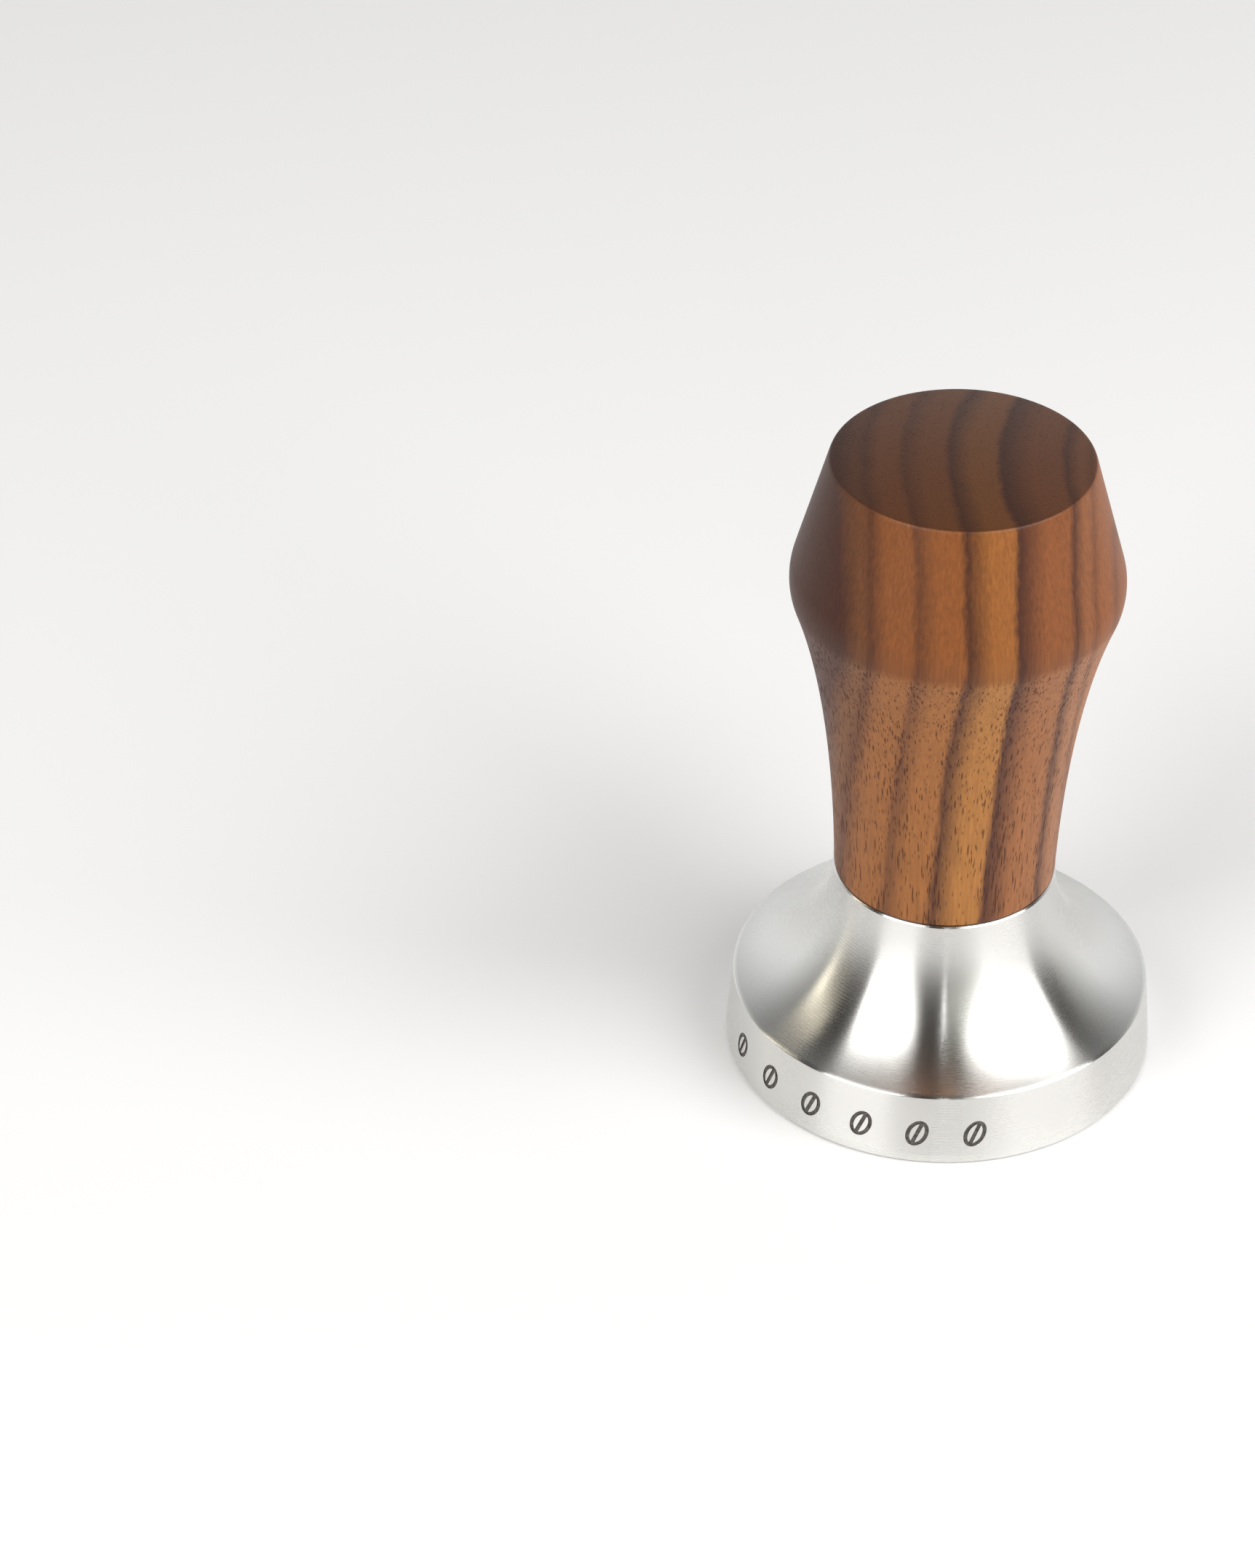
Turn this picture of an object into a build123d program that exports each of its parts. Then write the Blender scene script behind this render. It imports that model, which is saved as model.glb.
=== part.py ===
from build123d import *
import math
import os

os.makedirs("parts", exist_ok=True)

# An espresso tamper: a turned stainless base with a slim waist and a walnut handle screwed on top.
# Millimetres. The origin is the centre of the flat tamping face, +Z runs up the axis of the
# handle and -Y is the front, which the engraved marks are counted from.

# Tamping base
base_radius = 29.0  # fits a 58 mm filter basket
land_height = 1.5  # straight wall at the foot that guides the base in the basket
foot_chamfer = 0.4
rim_height = 10.75
rim_lean = 0.79  # how far the rim wall draws in between the land and its top
rim_chamfer = 0.2
neck_radius = 15.0
neck_height = 29.0
neck_chamfer = 0.2

# Engraved band: coffee beans cut into the rim wall
mark_count = 6
mark_pitch = 15.4  # degrees from one mark to the next
mark_centre = -31.5  # degrees from the front to the middle of the row
mark_height = 4.2
mark_width = 2.9
mark_line = 0.55
mark_tilt = 22.0
mark_depth = 0.15
mark_level = 4.9  # height of the marks' centres above the tamping face

# Machine thread that joins the handle to the base, M8 x 1.25
thread_pitch = 1.25
thread_crest_radius = 3.95
thread_depth_ratio = 0.56  # of the pitch
thread_crest_ratio = 0.125  # flat crest, of the pitch
thread_root_radius = thread_crest_radius - thread_depth_ratio * thread_pitch
thread_crest_width = thread_crest_ratio * thread_pitch
thread_gap = 0.1  # between a screw and its nut, measured square to the faces
flank_angle = 30.0

# Tapped hole in the base
tapped_depth = 12.0  # from the neck's top face
mouth_depth = 1.0
mouth_gap = 0.3
drill_run_out = 4.0  # of the drilled hole beyond the tapped length
drill_depth = tapped_depth + drill_run_out
drill_point = 59.0  # half the angle of the drill's tip

# Friction washer between the neck and the wood
washer_thickness = 0.25
washer_inset = 0.45
washer_hole_gap = 0.5

# Threaded insert in the underside of the handle
insert_length = 12.0  # the coarse thread that bites in the wood
insert_pitch = 2.5
insert_wall = 1.15  # between the stud's crest and the coarse thread's root
insert_thread_depth = 1.0
insert_root_radius = thread_crest_radius + insert_wall
insert_crest_radius = insert_root_radius + insert_thread_depth
insert_crest_width = 0.25
flange_overhang = 1.4
flange_radius = insert_crest_radius + flange_overhang
flange_thickness = 1.2
flange_recess = 0.1
driver_gap = 0.05  # between the stud's crest and the flats of the driver's hexagon
driver_width = 2 * (thread_crest_radius + driver_gap)
driver_depth = 3.0
glue_gap = 0.1
pilot_depth = 3.5  # of the pilot hole beyond the insert

# Stud, a set screw with a hexagon socket in its lower end
stud_foot_gap = 1.0  # to the end of the tapped length
stud_top_gap = 0.3  # below the insert's upper end
stud_tip = 0.8
stud_tip_step = 0.1  # of the plain tips under the thread's root
socket_width = 4.0
socket_depth = 4.0
stud_reach_down = tapped_depth - stud_foot_gap  # below the neck's top face
stud_reach_up = flange_recess + flange_thickness + insert_length - stud_top_gap

# Walnut handle
handle_step = 0.17  # the steel neck stands out past the wood
handle_foot_radius = neck_radius - handle_step
handle_length = 63.44
belly_radius = 21.77
belly_level = 45.35  # height of the widest place above the handle's foot
belly_round = 9.68  # radius of the round at the belly
foot_flare = 1.7  # degrees from upright at the foot
shoulder_flare = 20.2  # degrees from upright where the waist meets the belly
crown_lean = 15.66  # degrees from upright above the belly
top_round = 0.6
top_round_ease = 0.45  # how far the round bows out towards the sharp corner
top_rise = 1.2
waist_pull_foot = 0.385  # how far each end's direction holds, as a share of the waist's height
waist_pull_belly = 0.266

# How far a cutting tool reaches past the surface that it cuts
cut_reach = 1.0

# Heights that follow from the sizes above
washer_top = neck_height + washer_thickness
handle_foot = washer_top
insert_foot = handle_foot + flange_recess
insert_top = insert_foot + flange_thickness + insert_length
stud_foot = neck_height - stud_reach_down
stud_top = handle_foot + stud_reach_up


def polar(radius, degrees):
    """A point in the plane, by its distance from the centre and its angle."""
    angle = math.radians(degrees)
    return (radius * math.cos(angle), radius * math.sin(angle))


def turned(outline):
    """A solid of revolution about Z from an outline drawn as (radius, height)."""
    return revolve(Plane.XZ * make_face(outline), Axis.Z)


def drum(radius, low, high):
    """A round bar on the axis between two heights."""
    return Pos(0, 0, low) * Cylinder(radius, high - low, align=(Align.CENTER, Align.CENTER, Align.MIN))


def hexagon_bar(width, low, high):
    """A hexagonal bar on the axis, measured across its flats."""
    return Pos(0, 0, low) * extrude(RegularPolygon(width / 2, 6, major_radius=False), high - low)


def threaded_bar(pitch, crest, root, crest_width, low, high, gap=0.0):
    """A bar with a single-start thread between two heights, grown by a gap square to its faces.
    Bars of one pitch are all in step. It is closed turn by turn and then cut square at its ends."""
    slope = math.radians(flank_angle)
    crest_width += 2 * gap * (1 - math.sin(slope)) / math.cos(slope)
    flank = (crest - root) * math.tan(slope)
    crest, root = crest + gap, root + gap
    middle = flank + crest_width / 2
    profile = [
        (root, -middle),
        (crest, flank - middle),
        (crest, flank + crest_width - middle),
        (root, 2 * flank + crest_width - middle),
        (root, pitch - middle),
    ]

    def turn(radius, start):
        return Edge.make_helix(pitch, pitch, radius, center=(0, 0, start))

    first, last = math.floor(low / pitch) - 1, math.ceil(high / pitch) + 1
    faces = []
    for number in range(first, last):
        for (r1, z1), (r2, z2) in zip(profile, profile[1:]):
            lower, upper = turn(r1, number * pitch + z1), turn(r2, number * pitch + z2)
            faces.append(Face.make_surface_from_curves(lower, upper))
    for number in (first, last):
        start = number * pitch - middle
        axis = Edge.make_line((0, 0, start), (0, 0, start + pitch))
        faces.append(Face.make_surface_from_curves(axis, turn(root, start)))
        step = [Vector(radius, 0, number * pitch + height) for radius, height in profile]
        ends = [Vector(0, 0, start), *step, Vector(0, 0, start + pitch)]
        faces.append(Face(Wire.make_polygon(ends)))
    return Solid(Shell(faces)) & drum(crest + cut_reach, low, high)


def machine_thread(low, high, gap=0.0):
    """The M8 thread, or the space that takes it."""
    sizes = thread_pitch, thread_crest_radius, thread_root_radius, thread_crest_width
    return threaded_bar(*sizes, low, high, gap)


def wood_thread(low, high, gap=0.0):
    """The coarse thread that bites in the wood, or the space that takes it."""
    sizes = insert_pitch, insert_crest_radius, insert_root_radius, insert_crest_width
    return threaded_bar(*sizes, low, high, gap)


def rim_radius(level, inset=0.0):
    """Radius of the leaning rim wall at a height, or of a surface that far under it."""
    return base_radius - rim_lean * (level - land_height) / (rim_height - land_height) - inset


def base_outline():
    """Half of the base's cut: foot, rim wall, hollow flank and neck."""
    rim_top = (rim_radius(rim_height) - rim_chamfer, rim_height)
    neck_foot = (neck_radius, neck_height - neck_chamfer)
    reach, rise = rim_top[0] - neck_foot[0], neck_foot[1] - rim_top[1]
    flank_radius = (reach**2 + rise**2) / (2 * reach)
    half_turn = math.asin(rise / flank_radius) / 2
    flank_middle = (
        neck_foot[0] + flank_radius * (1 - math.cos(half_turn)),
        neck_foot[1] - flank_radius * math.sin(half_turn),
    )
    return [
        Polyline(
            (0, 0),
            (base_radius - foot_chamfer, 0),
            (base_radius, foot_chamfer),
            (base_radius, land_height),
            (rim_radius(rim_height - rim_chamfer), rim_height - rim_chamfer),
            rim_top,
        ),
        ThreePointArc(rim_top, flank_middle, neck_foot),
        Polyline(neck_foot, (neck_radius - neck_chamfer, neck_height), (0, neck_height), (0, 0)),
    ]


def bean():
    """A coffee bean in line: an oval ring with a straight seam down its middle."""
    ring = Ellipse(mark_width / 2, mark_height / 2)
    ring -= Ellipse(mark_width / 2 - mark_line, mark_height / 2 - mark_line)
    end = (mark_height - mark_line) / 2
    seam = Line((0, -end), (0, end))
    return Rot(0, 0, -mark_tilt) * (ring + trace(seam, mark_line))


def engraving():
    """The marks as cutters: beans pushed in from outside, kept to a skin of the rim wall."""
    low, high = mark_level - mark_height, mark_level + mark_height
    outside = base_radius + cut_reach
    skin = turned(
        Polyline(
            (rim_radius(low, mark_depth), low),
            (outside, low),
            (outside, high),
            (rim_radius(high, mark_depth), high),
            close=True,
        )
    )
    first = mark_centre - mark_pitch * (mark_count - 1) / 2
    depth = outside - rim_radius(high, mark_depth) + mark_width
    cutters = []
    for number in range(mark_count):
        front = Plane(origin=(0, -outside, mark_level), x_dir=(1, 0, 0), z_dir=(0, -1, 0))
        bar = extrude(front * bean(), -depth)
        cutters.append(Rot(0, 0, first + mark_pitch * number) * bar & skin)
    return cutters


def tamper_base():
    """Stainless base, turned from bar, with the tapped hole that takes the stud."""
    base = turned(base_outline())
    tap_foot = neck_height - tapped_depth
    base -= drum(thread_crest_radius + mouth_gap, neck_height - mouth_depth, neck_height)
    base -= machine_thread(tap_foot, neck_height - mouth_depth, thread_gap)
    drill_radius = thread_root_radius + thread_gap
    drill_foot = neck_height - drill_depth
    tip = drill_radius / math.tan(math.radians(drill_point))
    base -= turned(
        Polyline(
            (0, drill_foot - tip),
            (drill_radius, drill_foot),
            (drill_radius, tap_foot),
            (0, tap_foot),
            close=True,
        )
    )
    for cutter in engraving():
        base -= cutter
    return base


def friction_washer():
    """Thin black rubber washer that keeps the handle from working loose."""
    outer = min(neck_radius - neck_chamfer, handle_foot_radius) - washer_inset
    hole = thread_crest_radius + washer_hole_gap
    return drum(outer, neck_height, washer_top) - drum(hole, neck_height, washer_top)


def stud():
    """Steel stud, threaded along its length, with plain tips and a hexagon socket below."""
    tip_radius = thread_root_radius - stud_tip_step
    screw = machine_thread(stud_foot + stud_tip, stud_top - stud_tip)
    screw += drum(tip_radius, stud_foot, stud_foot + stud_tip)
    screw += drum(tip_radius, stud_top - stud_tip, stud_top)
    return screw - hexagon_bar(socket_width, stud_foot, stud_foot + socket_depth)


def threaded_insert():
    """Brass insert: coarse thread outside for the wood, machine thread inside for the stud."""
    shank_foot = insert_foot + flange_thickness
    insert = drum(flange_radius, insert_foot, shank_foot) + wood_thread(shank_foot, insert_top)
    driver_top = insert_foot + driver_depth
    insert -= hexagon_bar(driver_width, insert_foot, driver_top)
    return insert - machine_thread(driver_top, insert_top, thread_gap)


def handle_outline():
    """Half of the handle's cut: waist, belly, leaning crown and gently domed top."""
    belly = Vector(belly_radius - belly_round, handle_foot + belly_level)

    def on_belly(degrees):
        return belly + Vector(*polar(belly_round, degrees))

    foot = Vector(handle_foot_radius, handle_foot)
    shoulder, crown = on_belly(-shoulder_flare), on_belly(crown_lean)
    rise = shoulder.Y - foot.Y
    foot_pull = Vector(*polar(waist_pull_foot * rise, 90 - foot_flare))
    belly_pull = Vector(*polar(waist_pull_belly * rise, 90 - shoulder_flare))
    top = handle_foot + handle_length
    top_radius = crown.X - (top - crown.Y) * math.tan(math.radians(crown_lean))
    edge = Vector(top_radius, top)
    round_start = edge - Vector(*polar(top_round, 90 + crown_lean))
    round_end = edge - Vector(top_round, 0)
    chord_middle = (round_start + round_end) / 2
    round_middle = chord_middle + (edge - chord_middle) * top_round_ease
    dome_radius = (round_end.X**2 + top_rise**2) / (2 * top_rise)
    half_turn = math.asin(round_end.X / dome_radius) / 2
    dome_top = Vector(0, top + top_rise)
    dome_middle = dome_top + Vector(
        dome_radius * math.sin(half_turn), -dome_radius * (1 - math.cos(half_turn))
    )
    return [
        Bezier(foot, foot + foot_pull, shoulder - belly_pull, shoulder),
        ThreePointArc(shoulder, on_belly((crown_lean - shoulder_flare) / 2), crown),
        Line(crown, round_start),
        ThreePointArc(round_start, round_middle, round_end),
        ThreePointArc(round_end, dome_middle, dome_top),
        Polyline(dome_top, (0, handle_foot), foot),
    ]


def handle():
    """Walnut handle, turned, with the pocket that the insert is glued into."""
    wood = turned(handle_outline())
    pocket_top = insert_foot + flange_thickness + glue_gap
    void_top = insert_top + glue_gap
    pilot_radius = insert_root_radius + glue_gap
    wood -= drum(flange_radius + glue_gap, handle_foot, pocket_top)
    wood -= wood_thread(pocket_top, void_top, glue_gap)
    tip = pilot_radius / math.tan(math.radians(drill_point))
    pilot = Polyline(
        (0, void_top),
        (pilot_radius, void_top),
        (pilot_radius, void_top + pilot_depth),
        (0, void_top + pilot_depth + tip),
        close=True,
    )
    return wood - turned(pilot)


for node, shape in (
    ("tamper_base", tamper_base()),
    ("friction_washer", friction_washer()),
    ("stud", stud()),
    ("threaded_insert", threaded_insert()),
    ("handle", handle()),
):
    export_step(shape, f"parts/{node}.step")
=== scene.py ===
import math

import bmesh
import bpy
from mathutils import Matrix, Vector


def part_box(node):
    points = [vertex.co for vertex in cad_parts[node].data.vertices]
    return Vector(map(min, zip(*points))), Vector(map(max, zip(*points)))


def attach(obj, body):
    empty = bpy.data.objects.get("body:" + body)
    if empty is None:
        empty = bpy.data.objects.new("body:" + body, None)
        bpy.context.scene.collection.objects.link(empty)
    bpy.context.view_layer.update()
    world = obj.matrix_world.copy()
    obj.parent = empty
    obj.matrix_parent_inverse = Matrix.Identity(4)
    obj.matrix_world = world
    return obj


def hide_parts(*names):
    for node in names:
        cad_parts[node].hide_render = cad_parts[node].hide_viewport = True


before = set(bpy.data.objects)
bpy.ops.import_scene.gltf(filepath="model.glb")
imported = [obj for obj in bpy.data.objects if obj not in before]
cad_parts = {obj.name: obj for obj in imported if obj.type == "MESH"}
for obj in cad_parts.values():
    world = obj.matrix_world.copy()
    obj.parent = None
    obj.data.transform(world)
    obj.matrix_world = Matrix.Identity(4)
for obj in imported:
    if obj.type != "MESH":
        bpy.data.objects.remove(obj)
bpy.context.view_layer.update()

MM = 0.001

# ------------------------------------------------------------------ Tamping base
# One piece of 304 stainless steel, turned from bar: flat face, short rim wall, hollow flank and
# slim neck. The flank is polished on the lathe, so fine tool lines run round it, and the rim wall
# is left satin. The neck is drilled and tapped from above for the stud.
base_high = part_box("tamper_base")[1]
base_radius = base_high.x
neck_height = base_high.z
neck_radius = 15.0 * MM
neck_chamfer = 0.2 * MM
land_height = 1.5 * MM
foot_chamfer = 0.4 * MM
rim_height = 10.75 * MM
rim_lean = 0.79 * MM
rim_chamfer = 0.2 * MM
mouth_radius = 4.25 * MM
mouth_depth = 1.0 * MM
tapped_radius = 4.05 * MM
tapped_depth = 12.0 * MM
drilled_radius = 3.35 * MM
drilled_depth = 16.0 * MM
drill_point = 59.0  # half the angle of the drill's tip
edge_break = 0.08 * MM
bore_edge_break = 0.05 * MM
base_steps = 400
flank_steps = 56


def add_node(tree, kind, inputs=(), **settings):
    """Adds a node. Each input is a value to set or another node's output to link."""
    made = tree.nodes.new(kind)
    for name, value in settings.items():
        setattr(made, name, value)
    for socket, value in dict(inputs).items():
        target = made.inputs[socket]
        if isinstance(value, bpy.types.NodeSocket):
            tree.links.new(value, target)
        else:
            target.default_value = value
    return made


def linear(hex_colour):
    """An sRGB hex colour as the linear values that a shader works in."""
    parts = [int(hex_colour[i : i + 2], 16) / 255 for i in (1, 3, 5)]
    return [c / 12.92 if c <= 0.04045 else ((c + 0.055) / 1.055) ** 2.4 for c in parts] + [1.0]


def blank_finish(name):
    """A new material and its node tree, still empty."""
    finish = bpy.data.materials.new(name)
    finish.use_nodes = True
    finish.node_tree.nodes.clear()
    return finish, finish.node_tree


def in_scene(name, data):
    """An object for this mesh, curve, lamp or camera, put in the scene."""
    made = bpy.data.objects.new(name, data)
    bpy.context.scene.collection.objects.link(made)
    return made


def arc(centre, radius, start, end, steps):
    """Points of an arc in an outline of (radius, height), with its angles in degrees."""
    turns = [math.radians(start + (end - start) * k / steps) for k in range(steps + 1)]
    return [(centre[0] + radius * math.cos(t), centre[1] + radius * math.sin(t)) for t in turns]


def softened(corners, width, steps=4):
    """A run of corners, each inner one broken by a small round edge of this width."""
    points = [corners[0]]
    for before, corner, after in zip(corners, corners[1:], corners[2:]):
        corner = Vector(corner)
        to_start, to_end = Vector(before) - corner, Vector(after) - corner
        start = corner + to_start.normalized() * min(width, to_start.length / 3)
        end = corner + to_end.normalized() * min(width, to_end.length / 3)
        for step in range(steps + 1):
            share = step / steps
            first, second = start.lerp(corner, share), corner.lerp(end, share)
            points.append(tuple(first.lerp(second, share)))
    return points + [corners[-1]]


def set_input(modifier, name, value):
    """Sets an input of a Geometry Nodes modifier by its name in the tree."""
    items = modifier.node_group.interface.items_tree
    socket = next(i for i in items if i.name == name and i.in_out == "INPUT")
    modifier[socket.identifier] = value


def lathe_tree():
    """Turns the points of an outline, (radius, 0, height), round the axis as a lathe would."""
    tree = bpy.data.node_groups.new("lathe", "GeometryNodeTree")
    for name, kind in (("Outline", "Geometry"), ("Steps round", "Int"), ("Finish", "Material")):
        tree.interface.new_socket(name, in_out="INPUT", socket_type=f"NodeSocket{kind}")
    tree.interface.new_socket("Turned piece", in_out="OUTPUT", socket_type="NodeSocketGeometry")
    given = add_node(tree, "NodeGroupInput").outputs
    rows = add_node(
        tree, "GeometryNodeAttributeDomainSize", {"Geometry": given["Outline"]}
    ).outputs["Point Count"]
    around = add_node(
        tree, "ShaderNodeMath", {0: given["Steps round"], 1: 1.0}, operation="ADD"
    ).outputs[0]
    grid = add_node(tree, "GeometryNodeMeshGrid", {"Vertices X": around, "Vertices Y": rows})
    index = add_node(tree, "GeometryNodeInputIndex").outputs[0]
    row = add_node(tree, "ShaderNodeMath", {0: index, 1: rows}, operation="MODULO").outputs[0]
    column = add_node(tree, "ShaderNodeMath", {0: index, 1: rows}, operation="DIVIDE").outputs[0]
    column = add_node(tree, "ShaderNodeMath", {0: column}, operation="FLOOR").outputs[0]
    turn = add_node(
        tree, "ShaderNodeMath", {0: column, 1: given["Steps round"]}, operation="DIVIDE"
    ).outputs[0]
    angle = add_node(
        tree, "ShaderNodeMath", {0: turn, 1: 2 * math.pi}, operation="MULTIPLY"
    ).outputs[0]
    position = add_node(tree, "GeometryNodeInputPosition").outputs[0]
    point = add_node(
        tree,
        "GeometryNodeSampleIndex",
        {"Geometry": given["Outline"], "Value": position, "Index": row},
        data_type="FLOAT_VECTOR",
    ).outputs["Value"]
    length = add_node(
        tree, "GeometryNodeInputNamedAttribute", {"Name": "along"}, data_type="FLOAT"
    ).outputs["Attribute"]
    along = add_node(
        tree,
        "GeometryNodeSampleIndex",
        {"Geometry": given["Outline"], "Value": length, "Index": row},
        data_type="FLOAT",
    ).outputs["Value"]
    turned = add_node(
        tree,
        "ShaderNodeVectorRotate",
        {"Vector": point, "Angle": angle},
        rotation_type="Z_AXIS",
    ).outputs[0]
    placed = add_node(
        tree, "GeometryNodeSetPosition", {"Geometry": grid.outputs["Mesh"], "Position": turned}
    ).outputs[0]
    marked = add_node(
        tree,
        "GeometryNodeStoreNamedAttribute",
        {"Geometry": placed, "Name": "along", "Value": along},
        data_type="FLOAT",
    ).outputs[0]
    closed = add_node(
        tree, "GeometryNodeMergeByDistance", {"Geometry": marked, "Distance": 0.001 * MM}
    ).outputs[0]
    real = add_node(tree, "GeometryNodeRealizeInstances", {"Geometry": closed}).outputs[0]
    finished = add_node(
        tree, "GeometryNodeSetMaterial", {"Geometry": real, "Material": given["Finish"]}
    ).outputs[0]
    add_node(tree, "NodeGroupOutput", {"Turned piece": finished})
    return tree


def applied(piece):
    """Turns a piece and its modifiers into one plain mesh."""
    seen = piece.evaluated_get(bpy.context.evaluated_depsgraph_get())
    mesh = bpy.data.meshes.new_from_object(seen)
    numbers = [face.material_index for face in mesh.polygons]
    used = sorted(set(numbers))
    finishes = [mesh.materials[number] for number in used]
    mesh.materials.clear()
    for finish in finishes:
        mesh.materials.append(finish)
    mesh.polygons.foreach_set("material_index", [used.index(number) for number in numbers])
    piece.modifiers.clear()
    piece.data = mesh
    return piece


def smooth(piece, sharp_over=32):
    """Shades a piece smooth, apart from edges that turn by more than this many degrees."""
    form = bmesh.new()
    form.from_mesh(piece.data)
    bmesh.ops.recalc_face_normals(form, faces=form.faces)
    form.to_mesh(piece.data)
    form.free()
    piece.data.shade_smooth()
    piece.data.set_sharp_from_angle(angle=math.radians(sharp_over))
    return piece


def turned_piece(name, outline, steps, finish):
    """A mesh turned from an outline of (radius, height), with its length stored in mm."""
    mesh = bpy.data.meshes.new(name)
    mesh.from_pydata([(r, 0, z) for r, z in outline], [], [])
    travel, lengths = 0.0, [0.0]
    for here, there in zip(outline, outline[1:]):
        travel += math.dist(here, there) / MM
        lengths.append(travel)
    mesh.attributes.new("along", "FLOAT", "POINT").data.foreach_set("value", lengths)
    piece = in_scene(name, mesh)
    lathe = piece.modifiers.new("lathe", "NODES")
    lathe.node_group = bpy.data.node_groups.get("lathe") or lathe_tree()
    set_input(lathe, "Steps round", steps)
    set_input(lathe, "Finish", finish)
    return smooth(applied(piece))


def turned_stainless():
    """304 stainless as it leaves the lathe. Round tool lines draw each light out into a bright
    bar from neck to rim, with a faint comb of lines at its edges and a few hairline scratches."""
    finish, tree = blank_finish("turned_stainless")
    line_pitch = 0.45  # mm; real tool lines are near 0.2 mm, drawn coarser so that they show
    place = add_node(tree, "ShaderNodeTexCoord").outputs["Object"]
    in_mm = add_node(
        tree, "ShaderNodeVectorMath", {0: place, "Scale": 1 / MM}, operation="SCALE"
    ).outputs[0]
    along = add_node(tree, "ShaderNodeAttribute", attribute_name="along").outputs["Fac"]
    phase = add_node(
        tree, "ShaderNodeMath", {0: along, 1: 2 * math.pi / line_pitch}, operation="MULTIPLY"
    ).outputs[0]
    comb = add_node(tree, "ShaderNodeMath", {0: phase}, operation="SINE").outputs[0]
    drift = add_node(
        tree,
        "ShaderNodeTexNoise",
        {"W": along, "Scale": 0.9, "Detail": 2.0},
        noise_dimensions="1D",
    ).outputs["Fac"]
    comb = add_node(tree, "ShaderNodeMath", {0: comb, 1: drift}, operation="MULTIPLY").outputs[0]
    hairlines = add_node(
        tree,
        "ShaderNodeTexNoise",
        {"W": along, "Scale": 11.0, "Detail": 3.0, "Roughness": 0.7},
        noise_dimensions="1D",
    ).outputs["Fac"]
    height = add_node(
        tree, "ShaderNodeMath", {0: hairlines, 1: 1.2, 2: comb}, operation="MULTIPLY_ADD"
    ).outputs[0]
    bump = add_node(
        tree, "ShaderNodeBump", {"Strength": 0.1, "Distance": 0.0003 * MM, "Height": height}
    )
    smear = add_node(
        tree, "ShaderNodeTexNoise", {"Vector": in_mm, "Scale": 0.12, "Detail": 3.0}
    ).outputs["Fac"]
    rough = add_node(
        tree, "ShaderNodeMapRange", {"Value": smear, "To Min": 0.25, "To Max": 0.29}
    ).outputs[0]
    rough = add_node(
        tree, "ShaderNodeMath", {0: comb, 1: 0.008, 2: rough}, operation="MULTIPLY_ADD"
    ).outputs[0]
    tint = add_node(tree, "ShaderNodeMapRange", {"Value": hairlines}).outputs[0]
    colour = add_node(
        tree,
        "ShaderNodeMix",
        {0: tint, 6: linear("#E0DFDC"), 7: linear("#E9E8E5")},
        data_type="RGBA",
    ).outputs[2]
    tangent = add_node(tree, "ShaderNodeTangent", direction_type="RADIAL", axis="Z").outputs[0]
    metal = add_node(
        tree,
        "ShaderNodeBsdfPrincipled",
        {
            "Base Color": colour,
            "Metallic": 1.0,
            "Roughness": rough,
            "Anisotropic": 1.0,
            "Anisotropic Rotation": 0.25,
            "Tangent": tangent,
            "Normal": bump.outputs[0],
        },
    )
    add_node(tree, "ShaderNodeOutputMaterial", {"Surface": metal.outputs[0]})
    return finish


stainless = turned_stainless()
lean_per_height = rim_lean / (rim_height - land_height)
rim_edge = rim_height - rim_chamfer
flank_foot = (base_radius - rim_lean - rim_chamfer, rim_height)
flank_top = (neck_radius, neck_height - neck_chamfer)
flank_reach, flank_rise = flank_foot[0] - flank_top[0], flank_top[1] - flank_foot[1]
flank_radius = (flank_reach**2 + flank_rise**2) / (2 * flank_reach)
flank_sweep = math.degrees(math.asin(flank_rise / flank_radius))
flank_centre = (flank_top[0] + flank_radius, flank_top[1])
foot_and_rim = softened(
    [
        (0, 0),
        (base_radius - foot_chamfer, 0),
        (base_radius, foot_chamfer),
        (base_radius, land_height),
        (base_radius - lean_per_height * (rim_edge - land_height), rim_edge),
        flank_foot,
    ],
    edge_break,
)
flank = arc(flank_centre, flank_radius, 180 + flank_sweep, 180, flank_steps)
drill_tip = drilled_radius / math.tan(math.radians(drill_point))
neck_and_bore = softened(
    [
        flank_top,
        (neck_radius - neck_chamfer, neck_height),
        (mouth_radius, neck_height),
        (mouth_radius, neck_height - mouth_depth),
        (tapped_radius, neck_height - mouth_depth),
        (tapped_radius, neck_height - tapped_depth),
        (drilled_radius, neck_height - tapped_depth),
        (drilled_radius, neck_height - drilled_depth),
        (0, neck_height - drilled_depth - drill_tip),
    ],
    bore_edge_break,
)
base = turned_piece(
    "turned_base", foot_and_rim[:-1] + flank + neck_and_bore[1:], base_steps, stainless
)

# ------------------------------------------------------------------ Engraved coffee beans
# A row of six beans cut 0.15 mm into the rim wall with a round engraver and filled with dark
# grey. Each is an oval line with a straight seam down its middle, and the row starts at the left.
mark_count = 6
mark_pitch = 15.4
mark_centre = -31.5
mark_height = 4.2 * MM
mark_width = 2.9 * MM
mark_line = 0.55 * MM
mark_tilt = 22.0
mark_depth = 0.15 * MM
mark_level = 4.9 * MM
cutter_reach = 0.25 * MM  # of a cutter to either side of its middle
bean_steps = 72


def set_stops(ramp, stops):
    """Gives a colour ramp its stops, each a place from 0 to 1 and a linear colour."""
    while len(ramp.elements) < len(stops):
        ramp.elements.new(0.5)
    for element, (place, colour) in zip(ramp.elements, stops):
        element.position = place
        element.color = colour


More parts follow.
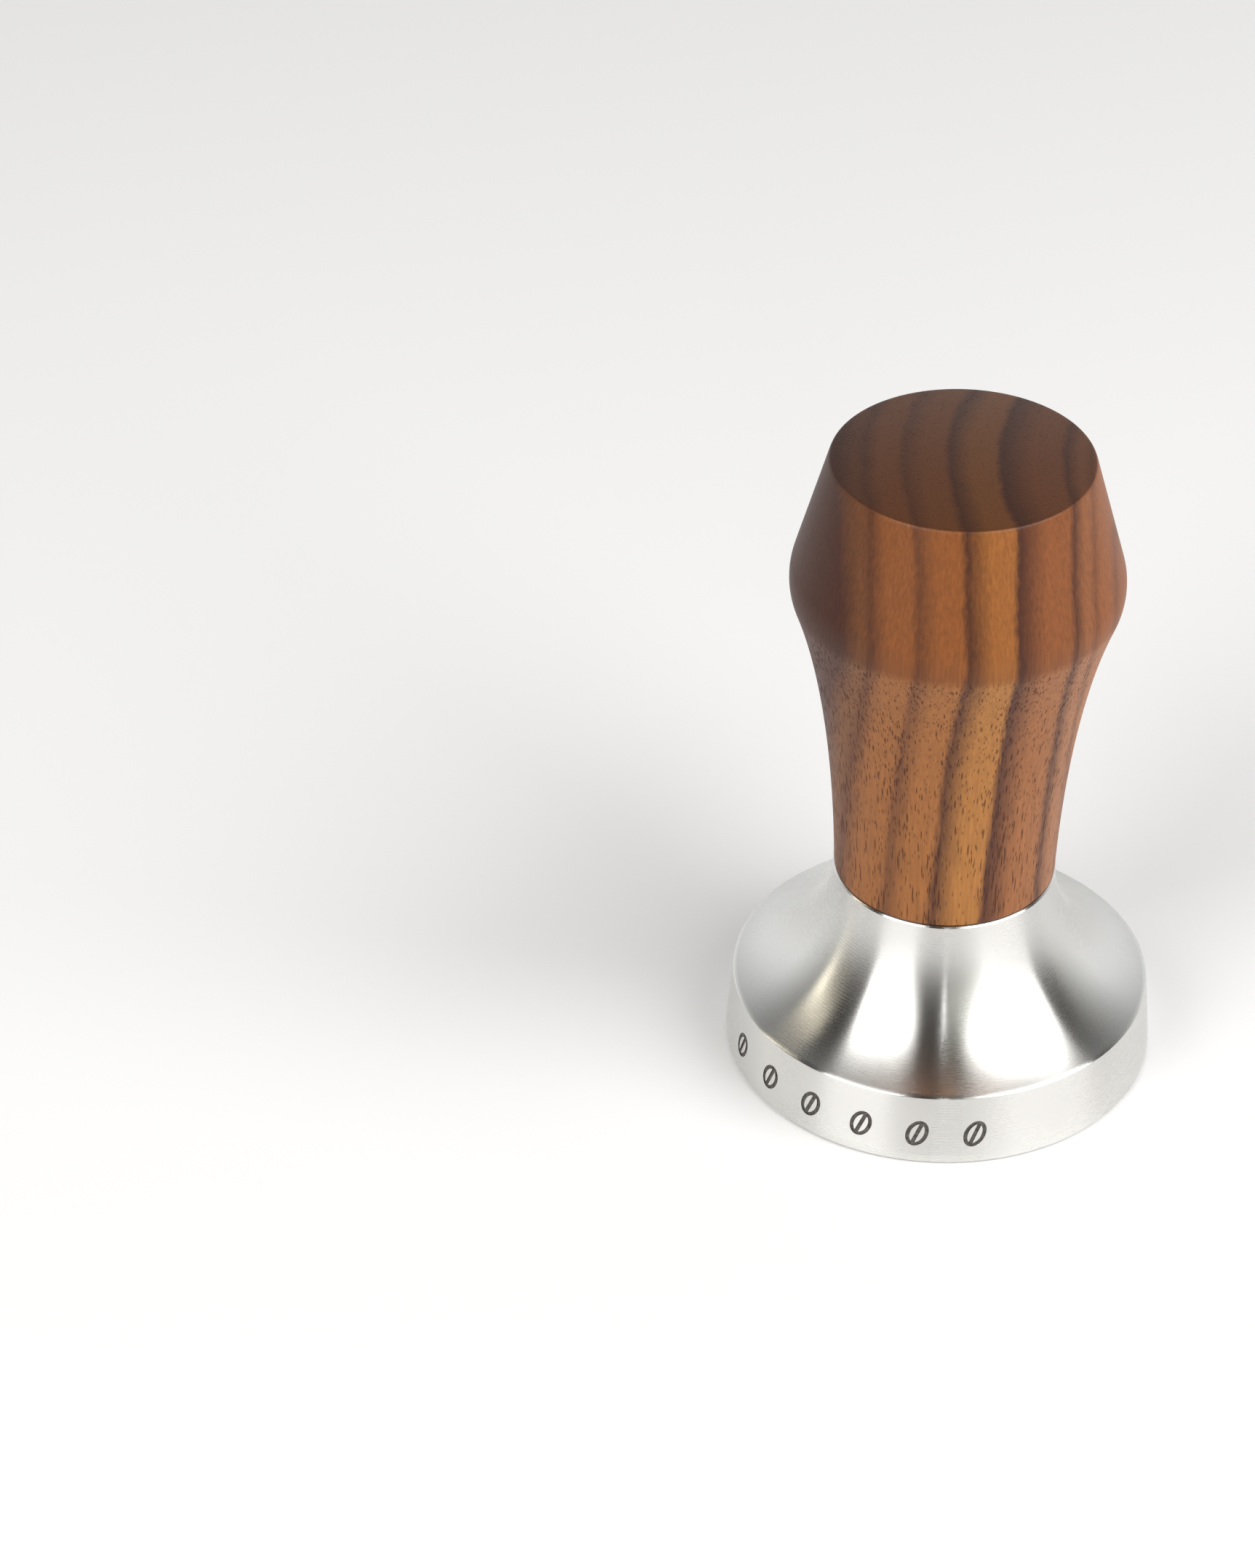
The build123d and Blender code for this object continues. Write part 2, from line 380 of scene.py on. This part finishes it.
def engraving_fill():
    """Dark grey filler left in a cut line: dull and a little uneven."""
    finish, tree = blank_finish("engraving_fill")
    place = add_node(tree, "ShaderNodeTexCoord").outputs["Object"]
    speck = add_node(
        tree, "ShaderNodeTexNoise", {"Vector": place, "Scale": 2.2 / MM, "Detail": 4.0}
    ).outputs["Fac"]
    colour = add_node(tree, "ShaderNodeValToRGB", {"Fac": speck})
    set_stops(colour.color_ramp, [(0.35, linear("#3A3634")), (0.75, linear("#6E6864"))])
    bump = add_node(
        tree, "ShaderNodeBump", {"Strength": 0.5, "Distance": 0.02 * MM, "Height": speck}
    )
    filler = add_node(
        tree,
        "ShaderNodeBsdfPrincipled",
        {
            "Base Color": colour.outputs[0],
            "Metallic": 0.25,
            "Roughness": 0.55,
            "Normal": bump.outputs[0],
        },
    )
    add_node(tree, "ShaderNodeOutputMaterial", {"Surface": filler.outputs[0]})
    return finish


def bean_lines():
    """The closed lines of one bean: its oval, and the two islands of metal left inside it."""
    turns = [2 * math.pi * k / bean_steps for k in range(bean_steps)]
    outer = [(mark_width / 2 * math.cos(t), mark_height / 2 * math.sin(t)) for t in turns]
    wide, high = mark_width / 2 - mark_line, mark_height / 2 - mark_line
    reach = math.acos(mark_line / 2 / wide)
    swings = [reach * (2 * k / bean_steps - 1) for k in range(bean_steps + 1)]
    right = [(wide * math.cos(t), high * math.sin(t)) for t in swings]
    return [outer, right, [(-x, -y) for x, y in right]]


def bean_cutter(fill):
    """One bean as a closed block, standing in the rim wall at the front of the base."""
    drawing = bpy.data.curves.new("bean", "CURVE")
    drawing.dimensions = "2D"
    drawing.fill_mode = "BOTH"
    drawing.extrude = cutter_reach
    for line in bean_lines():
        spline = drawing.splines.new("POLY")
        spline.points.add(len(line) - 1)
        spline.points.foreach_set("co", [v for x, y in line for v in (x, y, 0, 1)])
        spline.use_cyclic_u = True
    flat = in_scene("bean", drawing)
    seen = flat.evaluated_get(bpy.context.evaluated_depsgraph_get())
    mesh = bpy.data.meshes.new_from_object(seen)
    bpy.data.objects.remove(flat)
    lean = math.atan(lean_per_height)
    outward = Vector((0, -math.cos(lean), math.sin(lean)))
    wall_radius = base_radius - lean_per_height * (mark_level - land_height)
    centre = Vector((0, -wall_radius, mark_level)) + outward * (cutter_reach - mark_depth)
    stand = Matrix.Translation(centre) @ Matrix.Rotation(math.pi / 2 - lean, 4, "X")
    mesh.transform(stand @ Matrix.Rotation(math.radians(-mark_tilt), 4, "Z"))
    mesh.materials.clear()
    mesh.materials.append(fill)
    form = bmesh.new()
    form.from_mesh(mesh)
    bmesh.ops.remove_doubles(form, verts=form.verts, dist=0.0001 * MM)
    bmesh.ops.recalc_face_normals(form, faces=form.faces)
    form.to_mesh(mesh)
    form.free()
    return in_scene("bean_cutter", mesh)


def mark_row_tree():
    """Sets copies of one mark round the axis, a fixed angle apart."""
    tree = bpy.data.node_groups.new("mark_row", "GeometryNodeTree")
    for name, kind in (
        ("Row", "Geometry"),
        ("Mark", "Object"),
        ("Count", "Int"),
        ("First angle", "Float"),
        ("Angle between", "Float"),
        ("Finish", "Material"),
    ):
        tree.interface.new_socket(name, in_out="INPUT", socket_type=f"NodeSocket{kind}")
    tree.interface.new_socket("Marks", in_out="OUTPUT", socket_type="NodeSocketGeometry")
    given = add_node(tree, "NodeGroupInput").outputs
    points = add_node(tree, "GeometryNodePoints", {"Count": given["Count"]}).outputs[0]
    mark = add_node(tree, "GeometryNodeObjectInfo", {"Object": given["Mark"]}).outputs["Geometry"]
    index = add_node(tree, "GeometryNodeInputIndex").outputs[0]
    angle = add_node(
        tree,
        "ShaderNodeMath",
        {0: index, 1: given["Angle between"], 2: given["First angle"]},
        operation="MULTIPLY_ADD",
    ).outputs[0]
    turn = add_node(tree, "ShaderNodeCombineXYZ", {"Z": angle}).outputs[0]
    copies = add_node(
        tree,
        "GeometryNodeInstanceOnPoints",
        {"Points": points, "Instance": mark, "Rotation": turn},
    ).outputs[0]
    real = add_node(tree, "GeometryNodeRealizeInstances", {"Geometry": copies}).outputs[0]
    finished = add_node(
        tree, "GeometryNodeSetMaterial", {"Geometry": real, "Material": given["Finish"]}
    ).outputs[0]
    add_node(tree, "NodeGroupOutput", {"Marks": finished})
    return tree


dark_fill = engraving_fill()
one_bean = bean_cutter(dark_fill)
row_of_beans = in_scene("row_of_beans", bpy.data.meshes.new("row_of_beans"))
row = row_of_beans.modifiers.new("mark_row", "NODES")
row.node_group = mark_row_tree()
set_input(row, "Mark", one_bean)
set_input(row, "Count", mark_count)
first_mark = mark_centre - mark_pitch * (mark_count - 1) / 2
set_input(row, "First angle", math.radians(first_mark))
set_input(row, "Angle between", math.radians(mark_pitch))
set_input(row, "Finish", dark_fill)
applied(row_of_beans)
engrave = base.modifiers.new("engrave", "BOOLEAN")
engrave.operation = "DIFFERENCE"
engrave.solver = "EXACT"
engrave.material_mode = "TRANSFER"
engrave.object = row_of_beans
applied(base)
smooth(base)
bpy.data.objects.remove(row_of_beans)
bpy.data.objects.remove(one_bean)
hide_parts("tamper_base")
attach(base, "base")

# ------------------------------------------------------------------ Walnut handle
# Turned on the lathe from one block of black walnut, sanded and oiled to a satin sheen. The
# growth rings cross it from front to back, and the wood's vessels run along it: they show as
# long dark streaks on the upright waist, short ticks under the belly and dots on the top.
handle_low, handle_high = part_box("handle")
handle_foot = handle_low.z
handle_foot_radius = 14.83 * MM
belly_radius = handle_high.x
belly_level = 45.35 * MM
belly_round = 9.68 * MM
foot_flare = 1.7
shoulder_flare = 20.2
crown_lean = 15.66
top_round = 0.6 * MM
top_rise = 1.2 * MM
waist_pull_foot = 0.385
waist_pull_belly = 0.266
flange_radius = 7.6 * MM
flange_depth = 1.4 * MM
insert_radius = 6.2 * MM
insert_depth = 13.4 * MM
pilot_radius = 5.2 * MM
pilot_depth = 16.9 * MM
handle_steps = 300
waist_steps = 48
belly_steps = 20
dome_steps = 24
top_edge_steps = 6


def bezier(start, start_pull, end_pull, end, steps):
    """Points of a cubic curve in an outline."""
    points = []
    for step in range(steps + 1):
        s = step / steps
        weights = ((1 - s) ** 3, 3 * s * (1 - s) ** 2, 3 * s**2 * (1 - s), s**3)
        corners = (start, start_pull, end_pull, end)
        points.append(tuple(sum(w * c[i] for w, c in zip(weights, corners)) for i in (0, 1)))
    return points


def oiled_walnut():
    """Black walnut under oil: warm orange brown between dark ring lines, with open pores. The upper
    half is sanded finer, so its pores are nearly closed, and its colour is darkened as painted shade.
    End grain drinks more oil and is darker, and the darkening of faces that turn upwards is also
    painted shade on the top."""
    finish, tree = blank_finish("oiled_walnut")
    place = add_node(tree, "ShaderNodeTexCoord").outputs
    in_mm = add_node(
        tree, "ShaderNodeVectorMath", {0: place["Object"], "Scale": 1 / MM}, operation="SCALE"
    ).outputs[0]
    height = add_node(tree, "ShaderNodeSeparateXYZ", {0: in_mm}).outputs["Z"]
    along_grain = add_node(
        tree, "ShaderNodeVectorMath", {0: in_mm, 1: (1, 1, 0.12)}, operation="MULTIPLY"
    ).outputs[0]

    # Growth rings. Their colour follows the distance from the pith, where the tree's centre was.
    pith = (54.9, -4.5, 0.0)  # mm from the handle's axis
    pith_lean = 0.024  # mm sideways to each mm down
    from_top = add_node(
        tree, "ShaderNodeMath", {0: handle_high.z / MM, 1: height}, operation="SUBTRACT"
    ).outputs[0]
    upright = add_node(
        tree,
        "ShaderNodeVectorMath",
        {0: from_top, 1: (pith_lean, 0, 0), 2: in_mm},
        operation="MULTIPLY_ADD",
    ).outputs[0]
    level = add_node(
        tree, "ShaderNodeVectorMath", {0: upright, 1: (1, 1, 0)}, operation="MULTIPLY"
    ).outputs[0]
    age = add_node(
        tree, "ShaderNodeVectorMath", {0: level, 1: pith}, operation="DISTANCE"
    ).outputs["Value"]
    for scale, detail, reach in ((0.16, 2.0, 0.8), (2.2, 3.0, 0.55)):  # a slow sway, a fine fuzz
        waver = add_node(
            tree, "ShaderNodeTexNoise", {"Vector": along_grain, "Scale": scale, "Detail": detail}
        ).outputs["Fac"]
        shift = add_node(
            tree, "ShaderNodeMapRange", {"Value": waver, "To Min": -reach, "To Max": reach}
        ).outputs[0]
        age = add_node(tree, "ShaderNodeMath", {0: age, 1: shift}, operation="ADD").outputs[0]
    youngest, oldest = 30.0, 80.0
    share = add_node(
        tree, "ShaderNodeMapRange", {"Value": age, "From Min": youngest, "From Max": oldest}
    ).outputs[0]
    rings = add_node(tree, "ShaderNodeValToRGB", {"Fac": share})
    ring_lines = (  # distance from the pith in mm, wood inside the line, how dark, how wide
        (35.4, "#9C643C", 0.4, 1.4),
        (39.1, "#9C643C", 0.45, 1.2),
        (42.4, "#996541", 0.85, 2.0),
        (50.6, "#935D36", 0.95, 4.4),
        (57.1, "#A06A35", 0.9, 3.0),
        (62.9, "#935D30", 0.6, 2.6),
        (67.9, "#905A2E", 0.7, 2.0),
        (71.2, "#744A2B", 0.9, 2.2),
    )
    line_fade = 0.9  # mm from a line's far edge to clean wood
    line_core = 0.35
    half_way, half_tone = 0.42, 0.65  # a line is this dark at this share of its width
    line = linear("#45241A")
    stops = []
    for distance, wood, depth, width in ring_lines:
        wood = linear(wood)
        dark = [w + (l - w) * depth for w, l in zip(wood, line)]
        half = [w + (l - w) * depth * half_tone for w, l in zip(wood, line)]
        stops.append((stops[-1][0] + line_fade if stops else youngest, wood))
        stops.append((distance - width, wood))
        stops.append((distance - width * half_way, half))
        stops.append((distance - line_core, dark))
    span = oldest - youngest
    set_stops(rings.color_ramp, [((age_mm - youngest) / span, tone) for age_mm, tone in stops])

    # Fibre, and painted shade that darkens the upper half.
    streaks = add_node(
        tree, "ShaderNodeVectorMath", {0: in_mm, 1: (1, 1, 0.05)}, operation="MULTIPLY"
    ).outputs[0]
    fibre = add_node(
        tree, "ShaderNodeTexNoise", {"Vector": streaks, "Scale": 3.2, "Detail": 5.0}
    ).outputs["Fac"]
    fibre_tone = add_node(
        tree,
        "ShaderNodeMapRange",
        {"Value": fibre, "From Min": 0.3, "From Max": 0.7, "To Min": 0.82, "To Max": 1.16},
    ).outputs[0]
    toned = add_node(
        tree, "ShaderNodeVectorMath", {0: rings.outputs[0], "Scale": fibre_tone}, operation="SCALE"
    ).outputs[0]
    # Above the belly's lower edge the colour is multiplied darker as painted shade. The same mask
    # closes the pores of the more finely sanded upper half.
    upper_half_shade_and_sanding = add_node(
        tree, "ShaderNodeMapRange", {"Value": height, "From Min": 71.8, "From Max": 73.2}
    ).outputs[0]
    painted_upper_shade = add_node(
        tree,
        "ShaderNodeMix",
        {0: upper_half_shade_and_sanding, 6: linear("#FFFFFF"), 7: linear("#D9C8B4")},
        data_type="RGBA",
    ).outputs[2]
    toned = add_node(
        tree, "ShaderNodeVectorMath", {0: toned, 1: painted_upper_shade}, operation="MULTIPLY"
    ).outputs[0]

    # Pores: stretched cells, crowded near the dark lines and in patches.
    ring_tone = add_node(tree, "ShaderNodeRGBToBW", {0: rings.outputs[0]}).outputs[0]
    near_line = add_node(
        tree,
        "ShaderNodeMapRange",
        {"Value": ring_tone, "From Min": 0.05, "From Max": 0.16, "To Min": 1.25, "To Max": 0.85},
    ).outputs[0]
    patches = add_node(
        tree, "ShaderNodeTexNoise", {"Vector": along_grain, "Scale": 0.35, "Detail": 2.0}
    ).outputs["Fac"]
    patches = add_node(tree, "ShaderNodeMath", {0: patches, 1: 0.52}, operation="ADD").outputs[0]
    crowding = add_node(
        tree, "ShaderNodeMath", {0: near_line, 1: patches}, operation="MULTIPLY"
    ).outputs[0]
    pore_depth = 0.0
    pore_kinds = ((0.3, 0.23, 8.0), (0.5, 0.21, 17.0))  # cell in mm, pore in cells, stretch
    for cell, radius, stretch in pore_kinds:
        vessel = add_node(
            tree, "ShaderNodeVectorMath", {0: in_mm, 1: (1, 1, 1 / stretch)}, operation="MULTIPLY"
        ).outputs[0]
        distance = add_node(
            tree, "ShaderNodeTexVoronoi", {"Vector": vessel, "Scale": 1 / cell}
        ).outputs["Distance"]
        distance = add_node(
            tree, "ShaderNodeMath", {0: distance, 1: crowding}, operation="DIVIDE"
        ).outputs[0]
        inner, outer = radius * 0.7, radius * 1.3
        pore = add_node(
            tree,
            "ShaderNodeMapRange",
            {"Value": distance, "From Min": inner, "From Max": outer, "To Min": 1.0, "To Max": 0.0},
        ).outputs[0]
        pore_depth = add_node(
            tree, "ShaderNodeMath", {0: pore, 1: pore_depth}, operation="MAXIMUM"
        ).outputs[0]
    # Faces that turn upwards are darkened toward dark brown. End grain is darker, and this darkening
    # also paints the shade on the top.
    facing = add_node(tree, "ShaderNodeSeparateXYZ", {0: place["Normal"]}).outputs["Z"]
    end_grain_and_top_shade = add_node(
        tree,
        "ShaderNodeMapRange",
        {"Value": facing, "From Min": 0.55, "From Max": 0.95, "To Max": 0.7},
    ).outputs[0]
    open_pores = add_node(
        tree, "ShaderNodeMapRange", {"Value": upper_half_shade_and_sanding, "To Min": 1.0, "To Max": 0.14}
    ).outputs[0]
    open_pores = add_node(
        tree, "ShaderNodeMath", {0: open_pores, 1: end_grain_and_top_shade}, operation="MAXIMUM"
    ).outputs[0]
    pores = add_node(
        tree, "ShaderNodeMath", {0: pore_depth, 1: open_pores}, operation="MULTIPLY"
    ).outputs[0]

    # The upward-facing faces mixed toward dark brown here are end grain, and this is also painted
    # shade on the top.
    end_grain_and_top_shade_colour = add_node(
        tree, "ShaderNodeMix", {0: end_grain_and_top_shade, 6: toned, 7: linear("#2C180D")}, data_type="RGBA"
    ).outputs[2]
    pore_tone = add_node(tree, "ShaderNodeMath", {0: pores, 1: 0.75}, operation="MULTIPLY").outputs[0]
    colour = add_node(
        tree, "ShaderNodeMix", {0: pore_tone, 6: end_grain_and_top_shade_colour, 7: linear("#3A1A10")}, data_type="RGBA"
    ).outputs[2]
    rough = add_node(
        tree, "ShaderNodeMath", {0: pores, 1: 0.25, 2: 0.46}, operation="MULTIPLY_ADD"
    ).outputs[0]
    relief = add_node(tree, "ShaderNodeMath", {0: fibre, 1: 0.25}, operation="MULTIPLY").outputs[0]
    relief = add_node(tree, "ShaderNodeMath", {0: relief, 1: pores}, operation="SUBTRACT").outputs[0]
    bump = add_node(
        tree, "ShaderNodeBump", {"Strength": 0.6, "Distance": 0.03 * MM, "Height": relief}
    )
    wood = add_node(
        tree,
        "ShaderNodeBsdfPrincipled",
        {
            "Base Color": colour,
            "Roughness": rough,
            "IOR": 1.45,
            "Specular IOR Level": 0.35,
            "Normal": bump.outputs[0],
        },
    )
    add_node(tree, "ShaderNodeOutputMaterial", {"Surface": wood.outputs[0]})
    return finish


def leaning(length, degrees):
    """A step of this length in an outline, at an angle up from level."""
    angle = math.radians(degrees)
    return Vector((length * math.cos(angle), length * math.sin(angle)))


belly_centre = Vector((belly_radius - belly_round, handle_foot + belly_level))
foot_edge = Vector((handle_foot_radius, handle_foot))
shoulder = belly_centre + leaning(belly_round, -shoulder_flare)
crown_start = belly_centre + leaning(belly_round, crown_lean)
waist_rise = shoulder.y - foot_edge.y
top_level = handle_high.z - top_rise
top_radius = crown_start.x - (top_level - crown_start.y) * math.tan(math.radians(crown_lean))
dome_radius = (top_radius**2 + top_rise**2) / (2 * top_rise)
dome_sweep = math.degrees(math.asin(top_radius / dome_radius))
dome = arc((0, handle_high.z - dome_radius), dome_radius, 90 - dome_sweep, 90, dome_steps)
waist = bezier(
    foot_edge,
    foot_edge + leaning(waist_pull_foot * waist_rise, 90 - foot_flare),
    shoulder - leaning(waist_pull_belly * waist_rise, 90 - shoulder_flare),
    shoulder,
    waist_steps,
)
belly = arc(belly_centre, belly_round, -shoulder_flare, crown_lean, belly_steps)
pilot_tip = pilot_radius / math.tan(math.radians(drill_point))
pocket = softened(
    [
        (0, handle_foot + pilot_depth + pilot_tip),
        (pilot_radius, handle_foot + pilot_depth),
        (pilot_radius, handle_foot + insert_depth),
        (insert_radius, handle_foot + insert_depth),
        (insert_radius, handle_foot + flange_depth),
        (flange_radius, handle_foot + flange_depth),
        (flange_radius, handle_foot),
        tuple(foot_edge),
        waist[1],
    ],
    edge_break,
)
top_corner = [belly[-1], (top_radius, top_level), dome[1]]
top_edge = softened(top_corner, top_round, top_edge_steps)
handle_outline = pocket[:-1] + waist[1:] + belly[1:] + top_edge[1:-1] + dome[1:]
handle = turned_piece("walnut_handle", handle_outline, handle_steps, oiled_walnut())
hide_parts("handle")
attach(handle, "grip")

# ------------------------------------------------------------------ Friction washer
# A disc of thin nitrile rubber, punched from sheet and laid loose on the neck, where it keeps the
# handle from working loose. Only its edge shows, as a hairline under the wood. Its near-black colour
# is painted shadow, standing in for the contact shadow between wood and steel.


def washer_painted_shadow():
    """Calendered rubber sheet, matt, with a fine grain. It is nearly black as painted shadow, and its
    edge stands in for the contact shadow under the wood.
    """
    finish, tree = blank_finish("washer_painted_shadow")
    place = add_node(tree, "ShaderNodeTexCoord").outputs["Object"]
    grain = add_node(
        tree, "ShaderNodeTexNoise", {"Vector": place, "Scale": 3.0 / MM, "Detail": 3.0}
    ).outputs["Fac"]
    colour = add_node(tree, "ShaderNodeValToRGB", {"Fac": grain})
    # Near-black as painted shadow: the washer's edge stands in for the contact shadow under the wood.
    set_stops(colour.color_ramp, [(0.0, linear("#171615")), (1.0, linear("#2B2927"))])
    bump = add_node(
        tree, "ShaderNodeBump", {"Strength": 0.4, "Distance": 0.02 * MM, "Height": grain}
    )
    rubber = add_node(
        tree,
        "ShaderNodeBsdfPrincipled",
        {"Base Color": colour.outputs[0], "Roughness": 0.75, "Normal": bump.outputs[0]},
    )
    add_node(tree, "ShaderNodeOutputMaterial", {"Surface": rubber.outputs[0]})
    return finish


def give_finish(node, finish):
    """Gives a CAD node this material alone."""
    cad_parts[node].data.materials.clear()
    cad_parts[node].data.materials.append(finish)


give_finish("friction_washer", washer_painted_shadow())

# ------------------------------------------------------------------ Stud and threaded insert
# The stud is an M8 set screw of plain steel with a film of oil. The insert is turned from brass
# rod and screwed into the wood with glue. Both show only when the handle is unscrewed.


def machined_metal(name, dark, light, roughness):
    """Metal cut on a screw machine: faint drag lines, with tone and dullness that vary along them."""
    finish, tree = blank_finish(name)
    place = add_node(tree, "ShaderNodeTexCoord").outputs["Object"]
    drag = add_node(
        tree, "ShaderNodeVectorMath", {0: place, 1: (0.3, 0.3, 3.0)}, operation="MULTIPLY"
    ).outputs[0]
    lines = add_node(
        tree, "ShaderNodeTexNoise", {"Vector": drag, "Scale": 1.6 / MM, "Detail": 4.0}
    ).outputs["Fac"]
    colour = add_node(tree, "ShaderNodeValToRGB", {"Fac": lines})
    set_stops(colour.color_ramp, [(0.3, linear(dark)), (0.7, linear(light))])
    rough = add_node(
        tree,
        "ShaderNodeMapRange",
        {"Value": lines, "To Min": roughness - 0.08, "To Max": roughness + 0.1},
    ).outputs[0]
    bump = add_node(
        tree, "ShaderNodeBump", {"Strength": 0.3, "Distance": 0.01 * MM, "Height": lines}
    )
    metal = add_node(
        tree,
        "ShaderNodeBsdfPrincipled",
        {
            "Base Color": colour.outputs[0],
            "Metallic": 1.0,
            "Roughness": rough,
            "Normal": bump.outputs[0],
        },
    )
    add_node(tree, "ShaderNodeOutputMaterial", {"Surface": metal.outputs[0]})
    return finish


give_finish("stud", machined_metal("oiled_steel", "#6F6E6C", "#A3A19E", 0.34))
give_finish("threaded_insert", machined_metal("cut_brass", "#A07E3C", "#D9B870", 0.3))

# ------------------------------------------------------------------ Floor
# A sheet of plain white paper, cut round and far larger than what shows. The tamper stands on
# it, and it isn't part of the tamper.


def white_paper():
    """Matt white paper, with a trace of tooth."""
    finish, tree = blank_finish("white_paper")
    place = add_node(tree, "ShaderNodeTexCoord").outputs["Object"]
    tooth = add_node(
        tree, "ShaderNodeTexNoise", {"Vector": place, "Scale": 900.0, "Detail": 2.0}
    ).outputs["Fac"]
    bump = add_node(
        tree, "ShaderNodeBump", {"Strength": 0.1, "Distance": 0.02 * MM, "Height": tooth}
    )
    paper = add_node(
        tree,
        "ShaderNodeBsdfPrincipled",
        {"Base Color": linear("#E5E5E6"), "Roughness": 0.9, "Normal": bump.outputs[0]},
    )
    add_node(tree, "ShaderNodeOutputMaterial", {"Surface": paper.outputs[0]})
    return finish


floor_radius = 1.6  # metres
floor_drop = 0.02 * MM  # keeps the paper clear of the tamping face, which is at height 0
floor_sides = 96
floor_turns = [2 * math.pi * k / floor_sides for k in range(floor_sides)]
floor_mesh = bpy.data.meshes.new("floor")
floor_edge = [
    (floor_radius * math.cos(t), floor_radius * math.sin(t), -floor_drop) for t in floor_turns
]
floor_mesh.from_pydata(floor_edge, [], [range(floor_sides)])
floor_mesh.materials.append(white_paper())
in_scene("floor", floor_mesh)

# ------------------------------------------------------------------ Light
# Two large soft boxes stand at the front left and front right, with a weak panel and a thin
# strip between them and a warm strip at the far left. The room is bright behind the tamper and
# dim and warm in front of it.
aim = Vector((0, 0, neck_height))


def soft_box(name, azimuth, elevation, distance, width, height, watts, colour):
    """A rectangular light that faces the tamper. Azimuth 0 is the front, 90 the right."""
    box = bpy.data.lights.new(name, "AREA")
    box.shape = "RECTANGLE"
    box.size, box.size_y = width, height
    box.energy = watts
    box.color = linear(colour)[:3]
    lamp = in_scene(name, box)
    turn, rise = math.radians(azimuth), math.radians(elevation)
    level = math.cos(rise)
    away = Vector((math.sin(turn) * level, -math.cos(turn) * level, math.sin(rise)))
    lamp.location = aim + away * distance
    lamp.rotation_euler = away.to_track_quat("Z", "Y").to_euler()


soft_box("soft_box_left", -45, 36, 1.5, 0.9, 1.0, 17, "#FFFEFC")
soft_box("soft_box_right", 58, 42, 1.5, 1.3, 1.2, 27, "#FFFEFC")
soft_box("grey_panel", 18, 30, 1.7, 0.75, 0.9, 1.6, "#F2F6EC")
soft_box("strip_left", -99, 30, 1.5, 0.16, 1.0, 1.6, "#FFF6E0")
soft_box("strip_front", 1, 32, 1.5, 0.012, 0.9, 0.5, "#FFFFFF")

room = bpy.data.worlds.new("room")
bpy.context.scene.world = room
room.use_nodes = True
room_tree = room.node_tree
room_tree.nodes.clear()
look = add_node(room_tree, "ShaderNodeTexCoord").outputs["Generated"]
look = add_node(room_tree, "ShaderNodeSeparateXYZ", {0: look}).outputs
back = add_node(
    room_tree, "ShaderNodeMapRange", {"Value": look["Y"], "From Min": -1.0, "From Max": 1.0}
).outputs[0]
walls = add_node(room_tree, "ShaderNodeValToRGB", {"Fac": back})
wall_tones = [(0.54, linear("#221D16")), (0.62, linear("#9C9C98")), (0.8, linear("#ECEDEE"))]
set_stops(walls.color_ramp, wall_tones)
dimmer = add_node(
    room_tree,
    "ShaderNodeMapRange",
    {"Value": look["Z"], "From Min": 0.25, "From Max": 0.75, "To Min": 1.25, "To Max": 0.25},
).outputs[0]
glow = add_node(
    room_tree, "ShaderNodeBackground", {"Color": walls.outputs[0], "Strength": dimmer}
)
add_node(room_tree, "ShaderNodeOutputWorld", {"Surface": glow.outputs[0]})
bpy.context.scene.view_settings.view_transform = "Standard"

# ------------------------------------------------------------------ Camera
# A long lens looks down at the tamper from the front, so that the tamper stands right of the
# middle of the picture. The camera is level from side to side.
camera_place = (-0.04262, -0.52606, 0.42535)
camera_dip = 36.11  # degrees below level
camera_data = bpy.data.cameras.new("camera")
camera_data.lens = 112.35
camera_data.sensor_width = 36.0
camera_data.clip_start, camera_data.clip_end = 0.05, 20.0
camera = in_scene("camera", camera_data)
camera.location = camera_place
camera.rotation_euler = (math.radians(90 - camera_dip), 0, 0)
bpy.context.scene.camera = camera
